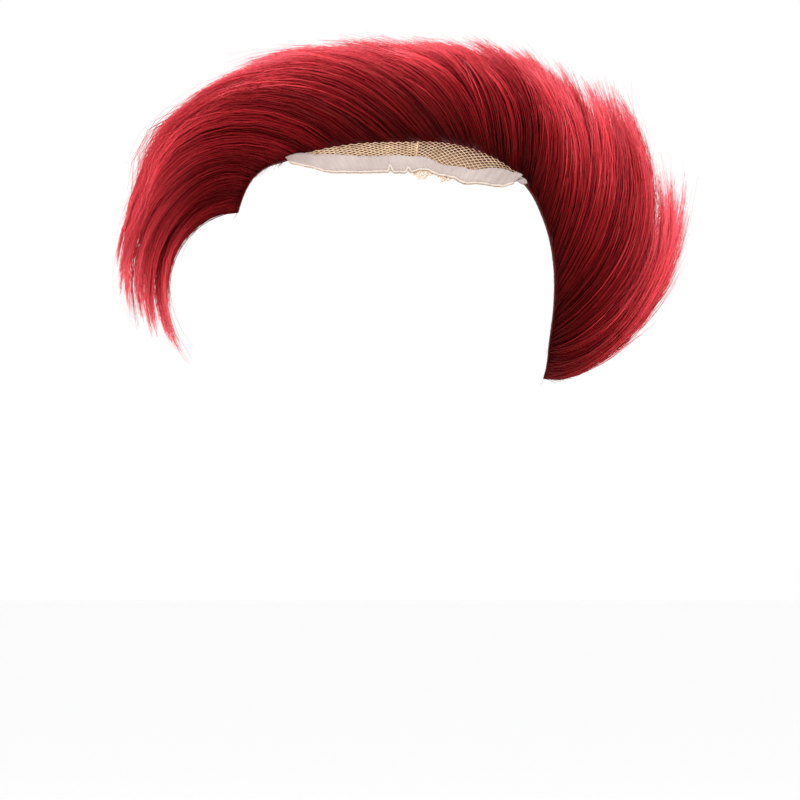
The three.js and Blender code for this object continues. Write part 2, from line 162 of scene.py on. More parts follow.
# How the hair's colour fades, by the angle of its root: its place up the map at the root and at the tip, and
# how late it brightens. The dark at the roots is partly the dye and partly painted shade, and the pinkish
# light at the tips partly a painted sheen.
FADE_ROOT, FADE_TIP, FADE_LAG = 1, 2, 3
FADE = np.array([
    (-69, 0.28, 1.0, 1.55),
    (-45, 0.33, 0.88, 1.6),
    (-20, 0.14, 0.82, 1.15),
    (0, 0.03, 0.95, 1.0),
    (15, 0.0, 1.0, 1.0),
    (60, 0.0, 0.94, 0.94),
    (126, 0.0, 0.9, 0.92),
])
# Painted sheen: bands of lighter and darker hair, which stand in for broad highlights and the shade between
# them: the angle from one to the next, their slant, and how strong they are
SHEEN_BANDS = [
    {"span": 30, "slant": 0.5, "strength": 0.13},
    {"span": 13, "slant": -2.5, "strength": 0.13},
]

# Short fine hairs that stray out from the hair's edges. They start inset from an edge, reach out from it,
# lean along it and rise off the cap.
EDGE_SPANS = [
    {"roots": (-68, -46), "count": 160, "reach": (2.0, 5.0)},
    {"roots": (-46, 52), "count": 640, "reach": (1.6, 3.6)},
    {"roots": (52, 125), "count": 260, "reach": (1.6, 4.0)},
]
EDGE_HAIRS = {"inset": 1.5, "height": 0.4, "lean": 2.0, "rise": (0.2, 1.6), "curl": 1.5, "points": 4,
              "radius": 0.13, "tip": 0.3, "tone": (0.2, 0.6), "brightest": 0.4, "seed": 16}
# The like below the nape: each follows the hair for a run of its way, and reaches out from it
FUZZ = {"count": 260, "root": (123.5, 126), "side": (-0.95, 0.95), "start": (0, 0.5), "run": (0.03, 0.09),
        "reach": (1.0, 4.5)}

# The cap cloth under the hair. Over the last millimetres before the hair's edge it thins to a margin, which
# runs on under the tape: a sheet of painted shade, dark by the hair's edge and brown farther out, which fills
# the shaded space behind the nets. Its map has the hair's edge at a set place, and spans a width in
# millimetres.
PANEL = {"ends": (-69, 125.5), "grid": (97, 33), "thickness": 0.9, "shade_margin": 0.22, "thins": (-6, -1),
         "under_tape": 2}
PANEL_MAP = {"edge": 0.6, "span": 60, "limits": (0.01, 0.99)}
WEFT_ROWS = 44

# A net wing on each side of the cap, whose lower edge is a superellipse
WING = {"middle": 3, "half_span": 49, "base": 40.8, "reach": 38, "squareness": 2.4}
# The tape along a wing's edge is gathered: pull draws the edge up, and swell lifts it off the net, over
# half_width each way. The pleats are sharp folds.
GATHERS = [
    {"angle": -46, "pull": 9.0, "swell": 0.0, "half_width": 13},
    {"angle": -21, "pull": -0.8, "swell": 0.4, "half_width": 14},
    {"angle": 12, "pull": 2.0, "swell": 0.5, "half_width": 9},
    {"angle": 34, "pull": -2.7, "swell": 0.9, "half_width": 7},
    {"angle": 51, "pull": 4.0, "swell": 1.2, "half_width": 3},
]
PLEATS = [
    {"angle": -6.2, "pull": 3.8, "swell": 1.5, "half_width": 1.6},
    {"angle": 3.4, "pull": 2.8, "swell": 1.2, "half_width": 1.8},
]
PLEAT_SHARPNESS = 1.5
TAPE = {"ends": (-44.6, 50.2), "grid": (221, 10), "thickness": 0.7, "height": 1.65, "swell_at_top": 0.25,
        "under_hair": 1, "narrowest": 1}
TAPE_WIDTH = np.array([(-34, 14.5), (-28, 13), (-18, 10.6), (-10, 10), (-3, 10.8), (6, 9.8), (14.5, 7.3),
                       (23, 6.9), (29, 8.6), (37, 12.5), (43, 16.5)], float)
ROLL = {"radius": 0.48, "sides": 8}
# Stitches above the tape's rolled edge, by how far above it their points lie and how high over the tape
STITCH = {"from_ends": (1.5, -1), "pitch": 0.74, "above_edge": (2.3, 1.5, 0.7), "rise": (0.0, 0.16, 0.05),
          "row": 0.9, "radius": 0.14, "sides": 4}
# The tape's tail behind the wing, with its lower edge by the angle
TAIL = {"grid": (25, 7), "under_hair": 2, "height": 0.75, "thickness": 0.5}
TAIL_EDGE = np.array([(47.5, 47), (50, 46.5), (51.5, 44), (53.5, 41)])

# A side net has two pieces, sewn together along a seam: their meshes from top to bottom, a mesh's width in
# degrees, and the thread's radius. A thread shorter than a share of its full way is left out.
SEAM = {"angle": 6.7, "half_width": 0.3, "waves": 25, "height": 0.75, "radius": 0.22, "points": 26,
        "sides": 5}
NETS = [
    {"ends": (TAPE["ends"][0], SEAM["angle"]), "meshes": 11, "pitch": 3.3, "thread": 0.27},
    {"ends": (SEAM["angle"], TAPE["ends"][1]), "meshes": 9, "pitch": 2.5, "thread": 0.19},
]
NET = {"height": 0.6, "weave": 0.1, "under_hair": 1.2, "above_edge": 0.8, "narrowest": 5, "shortest": 0.06,
       "points": 15, "sides": 4}
KNOT = {"half_width": 0.3, "radii": (0.12, 0.36, 0.12)}
# Scraps of net that hang out below the tape on the left, and what they share
STRAY_NETS = [
    {"angle": 11.5, "reach": 6.5, "half_width": 7.0},
    {"angle": 23.5, "reach": 4.0, "half_width": 5.0},
]
STRAY = {"meshes": 4, "pitch": 1.7, "thread": 0.19, "height": 1.0, "under_tape": 3, "netted": 0.9}

# Wrinkles are waves: each has a height, its turn in radians for a degree along the cap and for the way down
# from top to edge, and its start.
TAPE_WRINKLES = [(0.16, 1.3, 2.5, 0), (0.12, 2.9, -4, 1)]
TAIL_WRINKLES = [(0.35, 2.2, 3, 0)]
STRAY_WRINKLES = [(1.1, 1.9, 5, 0), (0.6, 4.3, 0, 0)]

# The stage. The camera looks square at the wig's left side, and view is the width that it sees.
FLOOR = {"z": -460, "reach": 30000}
CAMERA = {"distance": 20000, "y": -1.2, "z": -169.4, "view": 464, "sensor": 36}
LIGHT_AIM = (0, 0, -50)
LIGHTS = [
    {"name": "top", "place": (300, 200, 1600), "size": (1600, 1600), "power": 22},
    {"name": "face_side", "place": (1100, -1500, 700), "size": (900, 1400), "power": 18},
    {"name": "nape_side", "place": (1100, 1600, 500), "size": (900, 1400), "power": 12},
    {"name": "far_side", "place": (-1600, 300, 800), "size": (1200, 1400), "power": 10},
]


# Shapes on the cap

def read(table, column, value):
    """Reads a column of a table at values of its first one, smoothly between its rows."""
    keys, values = table[:, 0], table[:, column]
    rows = np.arange(len(keys))
    before = np.maximum(rows - 1, 0)
    after = np.minimum(rows + 1, len(keys) - 1)
    slopes = (values[after] - values[before]) / (keys[after] - keys[before])
    value = np.clip(value, keys[0], keys[-1])
    low = np.clip(np.searchsorted(keys, value, side="right") - 1, 0, len(keys) - 2)
    span = keys[low + 1] - keys[low]
    t = (value - keys[low]) / span
    return (
        values[low] * (1 + 2 * t) * (1 - t) ** 2
        + slopes[low] * span * t * (1 - t) ** 2
        + values[low + 1] * t**2 * (3 - 2 * t)
        + slopes[low + 1] * span * t**2 * (t - 1)
    )


def around_cap(angle, out, x):
    """Points by their angle round the cap, distance out from its middle, and place across."""
    turn = np.radians(angle)
    return np.stack([x, out * np.sin(turn), CAP_MIDDLE_Z + out * np.cos(turn)], axis=-1)


def on_cap(angle, across, height):
    """Points by angle and by distance across from the midline, raised over the cap's inside by a height."""
    side = read(CAP, SIDE_RADIUS, angle)
    turn = across / side
    out = read(CAP, RADIUS, angle) - side + (side + height) * np.cos(turn)
    return around_cap(angle, out, (side + height) * np.sin(turn))


def along_hair(root, side, t):
    """The way of hairs from their roots (t 0) to their tips (t 1). side is the root's place, from -1 to 1."""
    radius = read(CAP, SIDE_RADIUS, root)
    turn = side * read(CAP, HAIR_HALF, root) / radius
    drop = radius * (1 - np.cos(turn))
    lift, belly = read(COMB, LIFT, root), read(COMB, BELLY, root)
    arch = t * (4 * belly - lift) + t**2 * (2 * lift - 4 * belly)
    height = arch * (1 - SIDE_SHORTER * side**2) - drop * (1 - t) ** 2
    angle = root + (read(COMB, TIP, root) - root) * t ** read(COMB, LAG, root)
    drawn_in = t**GATHER_LAG
    x = radius * np.sin(turn) * (1 - drawn_in) + side * read(COMB, RIDGE, root) * drawn_in
    return around_cap(angle, read(CAP, RADIUS, angle) + height, x)


def unit(vectors):
    return vectors / np.maximum(np.linalg.norm(vectors, axis=-1, keepdims=True), TINY)


def outward(paths):
    """The directions square to paths, and to the way across the cap, in which hair bends out."""
    return unit(np.cross(unit(np.gradient(paths, axis=1)), X_AXIS))


def bump(value, middle, half_width):
    """A rounded bump of height 1 at the middle, which ends at half_width from it."""
    return (1 + np.cos(np.pi * np.clip((value - middle) / half_width, -1, 1))) / 2


def peak(value, middle, half_width):
    """A pointed one."""
    return np.clip(1 - np.abs(value - middle) / half_width, 0, 1) ** PLEAT_SHARPNESS


def waves(wrinkles, angle, row):
    """The height of wrinkles."""
    return sum(
        height * np.sin(by_angle * angle + by_row * row + start)
        for height, by_angle, by_row, start in wrinkles
    )


def gathered(angle, what):
    """How far the tape's gathers pull or swell it."""
    return sum(gather[what] * bump(angle, gather["angle"], gather["half_width"]) for gather in GATHERS)


def pleated(angle, what):
    """How far its pleats do."""
    return sum(pleat[what] * peak(angle, pleat["angle"], pleat["half_width"]) for pleat in PLEATS)


def wing_edge(angle):
    """The lower edge of a wing, along the cap from the midline, before the pleats."""
    reach = np.minimum(np.abs(angle - WING["middle"]) / WING["half_span"], 1)
    rounded = (1 - reach ** WING["squareness"]) ** (1 / WING["squareness"])
    return WING["base"] + WING["reach"] * rounded - gathered(angle, "pull")


def tape_edge(angle):
    return wing_edge(angle) - pleated(angle, "pull")


def tape_top(angle):
    """The tape's upper edge, which slips under the hair at the wing's ends."""
    under_hair = read(CAP, HAIR_HALF, angle) - TAPE["under_hair"]
    free = wing_edge(angle) - read(TAPE_WIDTH, 1, angle)
    return np.minimum(np.maximum(free, under_hair), tape_edge(angle) - TAPE["narrowest"])


def tape_height(angle, row):
    """How high the tape's inner face lies over the cap's inside, row 0 at its top and 1 at its edge."""
    swell = gathered(angle, "swell") + pleated(angle, "swell")
    lifted = swell * (TAPE["swell_at_top"] + (1 - TAPE["swell_at_top"]) * row)
    return TAPE["height"] + lifted + waves(TAPE_WRINKLES, angle, row)


# Meshes: a shape is its vertices, its faces in groups of equal size, and each face's places on the map

def tubes(paths, radii, sides, column=None, column_width=1.0, rows=None):
    """Closed tubes along paths, an array of tubes by points by 3. column is each tube's place across the map,
    and rows are its points' places up the map."""
    count, points, _ = paths.shape
    column = np.zeros(count) if column is None else column
    rows = np.linspace(0, 1, points)[None, :].repeat(count, axis=0) if rows is None else rows
    along = unit(np.gradient(paths, axis=1))
    hint = np.eye(3)[np.abs(along.mean(axis=1)).argmin(axis=1)][:, None, :]
    first = unit(np.cross(along, hint))
    second = np.cross(along, first)
    turn = 2 * np.pi * np.arange(sides) / sides
    ring = np.cos(turn)[:, None] * first[:, :, None, :] + np.sin(turn)[:, None] * second[:, :, None, :]
    vertices = (paths[:, :, None, :] + radii[:, :, None, None] * ring).reshape(-1, 3)

    tube, step, side = np.meshgrid(np.arange(count), np.arange(points - 1), np.arange(sides), indexing="ij")
    corner = lambda j, k: (tube * points + j) * sides + k % sides
    around = ((step, side), (step, side + 1), (step + 1, side + 1), (step + 1, side))
    quads = np.stack([corner(*place) for place in around], -1)
    u, v = column[tube] + column_width * side / sides, rows[tube, step]
    far_u, far_v = u + column_width / sides, rows[tube, step + 1]
    around_map = ((u, v), (far_u, v), (far_u, far_v), (u, far_v))
    quad_map = np.stack([np.stack(place, -1) for place in around_map], -2)

    start = np.arange(count)[:, None] * points * sides
    roots = start + np.arange(sides)[::-1]
    tips = start + (points - 1) * sides + np.arange(sides)
    cap_u = column[:, None] + column_width * np.arange(sides) / sides
    root_map = np.stack([cap_u[:, ::-1], np.repeat(rows[:, :1], sides, axis=1)], -1)
    tip_map = np.stack([cap_u, np.repeat(rows[:, -1:], sides, axis=1)], -1)
    return vertices, [quads.reshape(-1, 4), roots, tips], [quad_map.reshape(-1, 4, 2), root_map, tip_map]


def wall(outer, inner, across=None):
    """A closed wall between two grids of points, the inner one beyond the outer one on the map. across is the
    points' places up the map, where they aren't even."""
    columns, rows, _ = outer.shape
    count = columns * rows
    places = np.stack(np.meshgrid(np.linspace(0, 1, columns), np.linspace(0, 1, rows), indexing="ij"), -1)
    if across is not None:
        places[..., 1] = across
    vertices = np.concatenate([outer.reshape(-1, 3), inner.reshape(-1, 3)])
    index = np.arange(count).reshape(columns, rows)
    quad = np.stack([index[:-1, :-1], index[1:, :-1], index[1:, 1:], index[:-1, 1:]], -1).reshape(-1, 4)
    rim = np.concatenate([index[:, 0], index[-1, 1:], index[-2::-1, -1], index[0, -2:0:-1]])
    after = np.roll(rim, -1)
    edge = np.stack([after, rim, rim + count, after + count], -1)
    faces = np.concatenate([quad, quad[:, ::-1] + count, edge])
    both = np.concatenate([places.reshape(-1, 2), places.reshape(-1, 2) + [0, 1]])
    return vertices, [faces], [both[faces]]


def joined(shapes):
    """Several shapes as one."""
    vertices, faces, maps, start = [], [], [], 0
    for points, shape_faces, shape_maps in shapes:
        vertices.append(points)
        faces += [group + start for group in shape_faces]
        maps += shape_maps
        start += len(points)
    return np.concatenate(vertices), faces, maps


def piece(name, shape, material, map_name="UVMap"):
    """A mesh object made of a shape, which rides on the wig."""
    vertices, faces, maps = shape
    mesh = bpy.data.meshes.new(name)
    mesh.vertices.add(len(vertices))
    mesh.vertices.foreach_set("co", (vertices * MM).astype(np.float32).ravel())
    sizes = np.concatenate([np.full(len(group), group.shape[1]) for group in faces])
    mesh.loops.add(int(sizes.sum()))
    corners = np.concatenate([group.ravel() for group in faces])
    mesh.loops.foreach_set("vertex_index", corners.astype(np.int32))
    mesh.polygons.add(len(sizes))
    starts = np.concatenate([[0], np.cumsum(sizes)[:-1]])
    mesh.polygons.foreach_set("loop_start", starts.astype(np.int32))
    mesh.polygons.foreach_set("use_smooth", np.ones(len(sizes), bool))
    mesh.uv_layers.new(name=map_name)
    places = np.concatenate([group.reshape(-1, 2) for group in maps]).astype(np.float32)
    mesh.uv_layers[map_name].data.foreach_set("uv", places.ravel())
    mesh.update(calc_edges=True)
    mesh.validate()
    mesh.materials.append(material)
    made = bpy.data.objects.new(name, mesh)
    bpy.context.scene.collection.objects.link(made)
    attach(made, "root")
    return made


# Materials

class Shader:
    """A material and short calls to add its nodes."""

    def __init__(self, name, **constants):
        self.material = bpy.data.materials.new(name)
        self.material.use_nodes = True
        self.nodes = self.material.node_tree.nodes
        self.finish = self.nodes["Principled BSDF"]
        for socket, value in constants.items():
            self.finish.inputs[socket.replace("_", " ")].default_value = value

    def add(self, kind, inputs=(), **settings):
        """Adds a node. inputs pairs its sockets with values or with other nodes' outputs."""
        node = self.nodes.new(kind)
        for setting, value in settings.items():
            setattr(node, setting, value)
        for socket, value in dict(inputs).items():
            self.feed(node.inputs[socket], value)
        return node

    def feed(self, socket, value):
        if isinstance(value, bpy.types.NodeSocket):
            self.material.node_tree.links.new(value, socket)
        else:
            socket.default_value = value

    def math(self, operation, *values):
        return self.add("ShaderNodeMath", enumerate(values), operation=operation).outputs["Value"]

    def mix(self, share, first, second):
        """A colour between two, the second one where share is 1."""
        inputs = {"Factor": share, "A": first, "B": second}
        return self.add("ShaderNodeMix", inputs, data_type="RGBA").outputs["Result"]

    def ramp(self, value, stops):
        """A colour ramp over a value. stops pairs places with colours."""
        node = self.add("ShaderNodeValToRGB", {"Fac": value})
        elements = node.color_ramp.elements
        while len(elements) < len(stops):
            elements.new(0.5)
        for element, (place, colour) in zip(elements, stops):
            element.position = place
            element.color = (*colour, 1)
        return node.outputs["Color"]

    def map_place(self, map_name):
        """The two coordinates of a UV map."""
        place = self.add("ShaderNodeUVMap", uv_map=map_name).outputs["UV"]
        split = self.add("ShaderNodeSeparateXYZ", {"Vector": place}).outputs
        return split["X"], split["Y"]

    def noise(self, scale, detail=3.0):
        place = self.add("ShaderNodeTexCoord").outputs["Object"]
        inputs = {"Vector": place, "Scale": scale, "Detail": detail}
        return self.add("ShaderNodeTexNoise", inputs).outputs["Fac"]

    def paint(self, colour):
        self.feed(self.finish.inputs["Base Color"], colour)

    def mottle(self, scale, dark, light):
        """Paints soft patches of two colours."""
        self.paint(self.ramp(self.noise(scale), [(0.3, dark), (0.7, light)]))

    def relief(self, height, distance, strength):
        node = self.add("ShaderNodeBump", {"Height": height, "Distance": distance, "Strength": strength})
        self.feed(self.finish.inputs["Normal"], node.outputs["Normal"])


def hair_material():
    """Near black red at the roots and bright red at the tips, with darker and lighter strands. The darkness
    at the roots is partly the dye and partly painted shade, and the pinkish white in the tips' colour is a
    painted sheen.
    """
    shader = Shader("hair_red", Roughness=0.38, Specular_IOR_Level=0.15, Specular_Tint=(1, 0.3, 0.32, 1))
    tone, along = shader.map_place("OFBake")
    # Both ramps darken towards the roots, partly as the dye and partly as painted shade, and their pink near
    # the top is a painted sheen
    dark = shader.ramp(along, [
        (0.0, (0.03, 0.001, 0.001)),
        (0.2, (0.055, 0.0015, 0.0018)),
        (0.45, (0.125, 0.003, 0.004)),
        (0.75, (0.34, 0.014, 0.019)),
        (1.0, (0.6, 0.04, 0.053)),
    ])
    light = shader.ramp(along, [
        (0.0, (0.08, 0.002, 0.002)),
        (0.2, (0.17, 0.004, 0.005)),
        (0.45, (0.38, 0.015, 0.02)),
        (0.75, (0.95, 0.075, 0.098)),
        (1.0, (1.0, 0.22, 0.265)),
    ])
    shader.paint(shader.mix(tone, dark, light))
    return shader.material


def net_material():
    shader = Shader("net_thread", Roughness=0.75, Specular_IOR_Level=0.25)
    shader.mottle(180, (0.55, 0.37, 0.23), (0.74, 0.54, 0.36))
    return shader.material


def tape_material():
    shader = Shader("tape_mauve_white", Roughness=0.55, Sheen_Weight=0.25, Sheen_Roughness=0.4)
    shader.mottle(60, (0.31, 0.243, 0.226), (0.375, 0.303, 0.281))
    shader.relief(shader.noise(420, 4), 0.0008, 0.5)
    return shader.material


def roll_material():
    shader = Shader("tape_cream", Roughness=0.6)
    shader.mottle(300, (0.47, 0.385, 0.33), (0.6, 0.51, 0.45))
    return shader.material


def panel_material():
    """Dark wefts outside, and inside the knitted cloth that they are sewn to. Its margin backs the nets with
    painted shade: darkest at the hair's edge, as the hair's shadow, and brown farther out, as the shaded
    space under the net.
    """
    shader = Shader("cap_cloth", Roughness=0.85, Specular_IOR_Level=0.2)
    along, across = shader.map_place("UVMap")
    inside = shader.ramp(shader.math("FRACT", shader.math("MULTIPLY", along, WEFT_ROWS)), [
        (0.0, (0.05, 0.006, 0.007)),
        (0.25, (0.07, 0.011, 0.011)),
        (0.4, (0.15, 0.07, 0.05)),
        (0.85, (0.17, 0.08, 0.058)),
        (1.0, (0.05, 0.006, 0.007)),
    ])
    face = shader.math("FRACT", across)
    edge = PANEL_MAP["edge"]
    # Painted shade: darkest at the hair's edge, as the hair's shadow, and lighter brown farther out, as the
    # shaded space behind the net
    shade_margin = shader.ramp(face, [
        (edge, (0.04, 0.005, 0.005)),
        (edge + 0.06, (0.06, 0.02, 0.015)),
        (edge + 0.22, (0.22, 0.13, 0.09)),
    ])
    under_rows = shader.math("LESS_THAN", face, edge - 0.05)
    is_inside = shader.math("GREATER_THAN", across, 1.0)
    shader.paint(shader.mix(shader.math("MULTIPLY", under_rows, is_inside), shade_margin, inside))
    return shader.material


# Hair

def nearest(places, others):
    """For each place the index of the nearest of the others."""
    return ((places[:, None, :] - others[None, :, :]) ** 2).sum(axis=-1).argmin(axis=1)


def sow(zone, draw):
    """The places of a zone's strands, wisps and locks, in cells of its grid of locks, and each strand's wisp
    and lock."""
    strands, grid = zone["strands"], np.array(zone["locks"])
    cells = np.stack(np.meshgrid(*map(np.arange, grid), indexing="ij"), -1).reshape(-1, 2)
    lock_place = cells + 0.5 + np.array(zone["jitter"]) * draw.uniform(-0.5, 0.5, size=cells.shape)
    own_place = draw.random((strands, 2))
    off_middle = 2 * own_place[:, 1] - 1
    own_place[:, 1] = 0.5 + off_middle * (1 + SIDE_CROWDING - SIDE_CROWDING * off_middle**2) / 2
    own_place *= grid
    wisp_place = own_place[draw.choice(strands, len(cells) * WISPS, replace=False)]
    wisp = nearest(own_place, wisp_place)
    return own_place, wisp_place, lock_place, wisp, nearest(wisp_place, lock_place)[wisp]


def hair_strands(zone):
    """The paths, radii, tones and fading of a zone's strands."""
    draw = np.random.default_rng(zone["seed"])
    own_place, wisp_place, lock_place, wisp, lock = sow(zone, draw)
    strands, wisps, locks = len(own_place), len(wisp_place), len(lock_place)
    by_lock = lambda size, *shape: (draw.normal(size=(locks, *shape)) * size)[lock]
    by_wisp = lambda size, *shape: (draw.normal(size=(wisps, *shape)) * size)[wisp]
    by_strand = lambda size, *shape: draw.normal(size=(strands, *shape)) * size

    # Towards the tips strands draw into their wisp, and wisps into their lock
    t = np.linspace(0, 1, zone["segments"] + 1)[None, :]
    loose = draw.random(strands) < LOOSE["share"]
    hold = draw.uniform(*zone["hold"], size=locks)[lock] * ~loose
    wisp_hold = draw.uniform(*zone["wisp_hold"], size=wisps)[wisp] * ~loose
    to_wisp = wisp_place[wisp] - own_place
    to_lock = lock_place[lock] - wisp_place[wisp]
    drawn = t[..., None] ** LOCK_LAG
    place = own_place[:, None, :] + wisp_hold[:, None, None] * drawn * to_wisp[:, None, :]
    place = place + hold[:, None, None] * drawn * to_lock[:, None, :]
    first, last = zone["roots"]
    cells_along, cells_across = zone["locks"]
    root = np.clip(first + (last - first) * place[..., 0] / cells_along, first, last)
    side = np.clip(2 * place[..., 1] / cells_across - 1, -ROOTS_END, ROOTS_END)

    length = LENGTH["most"] - np.abs(by_lock(LENGTH["lock"])) - np.abs(by_wisp(LENGTH["wisp"]))
    length += by_strand(LENGTH["strand"])
    length -= LENGTH["pointed"] * np.linalg.norm(to_lock, axis=1)
    layered = draw.random(strands) < zone["layered"]
    length *= np.where(layered, draw.uniform(*LENGTH["layered"], size=strands), 1)
    length *= 1 - sum(cut["shorter"] * bump(root[:, 0], cut["root"], cut["half_width"]) for cut in CUTS)
    length = np.clip(length + loose * draw.uniform(*LOOSE["longer"], size=strands), *LENGTH["limits"])
    paths = along_hair(root, side, t * length[:, None])

    bend = by_lock(BEND["lock"], 2) + by_wisp(BEND["wisp"], 2)
    bend += by_strand(BEND["strand"], 2) * np.where(loose, LOOSE["bend"], 1)[:, None]
    bow = by_wisp(BOW["wisp"], 2) + by_strand(BOW["strand"], 2)
    out = outward(paths)
    for shift, share in ((zone["bend"] * bend, t**2), (bow, 4 * t * (1 - t))):
        paths = paths + share[..., None] * (shift[:, None, :1] * out + shift[:, None, 1:] * X_AXIS)

    stands = np.abs(root[:, 0] - STAND_OFF["root"]) < STAND_OFF["half_width"]
    stands &= draw.random(strands) < STAND_OFF["share"]
    height = stands * draw.uniform(*STAND_OFF["height"], size=strands)
    paths = paths + (height[:, None] * bump(t, STAND_OFF["along"], STAND_OFF["reach"]))[..., None] * out

    tone = TONE["middle"] + by_lock(TONE["lock"]) + by_wisp(TONE["wisp"]) + by_strand(TONE["strand"])
    # Painted sheen: broad lighter and darker bands across the locks
    for sheen_band in SHEEN_BANDS:
        phase = 2 * np.pi * root[:, 0] / sheen_band["span"] + sheen_band["slant"] * side[:, 0]
        tone += sheen_band["strength"] * np.sin(phase)
    low, high, late = (read(FADE, column, root[:, :1]) for column in (FADE_ROOT, FADE_TIP, FADE_LAG))
    fading = np.clip(low + (high - low) * t**late, 0, 1)
    radius = draw.uniform(*STRAND_RADIUS, size=strands) * np.where(loose, LOOSE["radius"], 1)
    return paths, radius[:, None] * np.interp(t, *TAPER.T), tone, fading


def edge_hairs():
    """The same of the short hairs that stray out from the hair's edges and below the nape."""
    draw = np.random.default_rng(EDGE_HAIRS["seed"])

    def spread(what):
        return np.concatenate([draw.uniform(*span[what], size=span["count"]) for span in EDGE_SPANS])

    angle, reach = spread("roots"), spread("reach")
    side = draw.choice([-1, 1], size=len(angle))
    lean = draw.normal(size=len(angle)) * EDGE_HAIRS["lean"]
    rise = draw.uniform(*EDGE_HAIRS["rise"], size=len(angle))
    t = np.linspace(0, 1, EDGE_HAIRS["points"])[None, :]
    curl = t ** EDGE_HAIRS["curl"]
    start = read(CAP, HAIR_HALF, angle) - EDGE_HAIRS["inset"]
    across = side[:, None] * (start[:, None] + reach[:, None] * t)
    height = EDGE_HAIRS["height"] + rise[:, None] * t**2
    stray = on_cap(angle[:, None] + lean[:, None] * curl, across, height)

    pick = lambda what: draw.uniform(*FUZZ[what], size=(FUZZ["count"], 1))
    way = along_hair(pick("root"), pick("side"), pick("start") + pick("run") * t)
    fuzz = way + (pick("reach") * curl)[..., None] * outward(way)

    paths = np.concatenate([stray, fuzz])
    radii = EDGE_HAIRS["radius"] * np.interp(t, [0, 1], [1, EDGE_HAIRS["tip"]])
    tone = draw.uniform(*EDGE_HAIRS["tone"], size=len(paths))
    fading = EDGE_HAIRS["brightest"] * t
    return paths, radii.repeat(len(paths), axis=0), tone, fading.repeat(len(paths), axis=0)


def hair_piece(name, paths, radii, tone, fading, material):
    column = np.clip(np.floor(tone * TONES), 0, TONES - 1) / TONES
    shape = tubes(paths, radii, STRAND_SIDES, column, COLUMN_FILL / TONES, fading)
    return piece(name, shape, material, "OFBake")


def make_hair():
    material = hair_material()
    for zone in ZONES:
        made = hair_piece(zone["name"], *hair_strands(zone), material)
        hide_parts(zone["node"])
    hair_piece("edge_hairs", *edge_hairs(), material)


# Cap

def make_panel():
    """The cap cloth under the hair, whose margin, a sheet of painted shade, runs on under the nets."""
    columns, rows = PANEL["grid"]
    angle = np.linspace(*PANEL["ends"], columns)[:, None]
    hair = read(CAP, HAIR_HALF, angle)
    in_wing = (angle > TAPE["ends"][0]) & (angle < TAPE["ends"][1])
    half = np.where(in_wing, np.maximum(tape_top(angle) + PANEL["under_tape"], hair), hair)
    across = half * np.linspace(1, -1, rows)[None, :]
    past_hair = np.abs(across) - hair
    thickness = np.interp(past_hair, PANEL["thins"], (PANEL["thickness"], PANEL["shade_margin"]))
    place = np.clip(PANEL_MAP["edge"] + past_hair / PANEL_MAP["span"], *PANEL_MAP["limits"])
    shape = wall(on_cap(angle, across, thickness), on_cap(angle, across, 0 * across), place)
    made = piece("cap_panel", shape, panel_material())
    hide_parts("weft_panel")


def net_threads(ends, net, top, bottom, height):
    """The threads and knots of a net between two angles, as rows of angle, distance across and height."""
    first, last = ends
    pitch = net["pitch"]
    reach = net["meshes"] * pitch
    starts = np.arange(first - reach, last, pitch)
    steps = np.linspace(0, 1, NET["points"])

    def way(angle, f, rise=0.0):
        across = top(angle) + (bottom(angle) - top(angle)) * f
        return np.stack([angle, across, height(angle, f) + rise], 1)

    threads = []
    for direction in (1, -1):
        for start in starts:
            begin = start if direction > 0 else start + reach
            low, high = sorted((end - begin) / (direction * reach) for end in ends)
            low, high = max(0.0, low), min(1.0, high)
            if high - low >= NET["shortest"]:
                f = low + (high - low) * steps
                threads.append(way(begin + direction * reach * f, f, NET["weave"] * direction))
    knots = []
    for start in starts:
        for end in starts + reach:
            f, angle = (end - start) / (2 * reach), (start + end) / 2
            if 0 < f < 1 and first < angle < last:
                knots.append(way(angle + KNOT["half_width"] * np.array([-1, 0, 1]), f))
    return threads, knots


def stray_net(stray):
    """The same of a crumpled scrap that hangs out below the tape."""
    hang = lambda angle: stray["reach"] * bump(angle, stray["angle"], stray["half_width"])
    top = lambda angle: tape_edge(angle) - STRAY["under_tape"]
    bottom = lambda angle: tape_edge(angle) + hang(angle)
    height = lambda angle, f: STRAY["height"] + waves(STRAY_WRINKLES, angle, f) * f
    ends = stray["angle"] + STRAY["netted"] * stray["half_width"] * np.array([-1, 1])
    return net_threads(ends, STRAY, top, bottom, height)


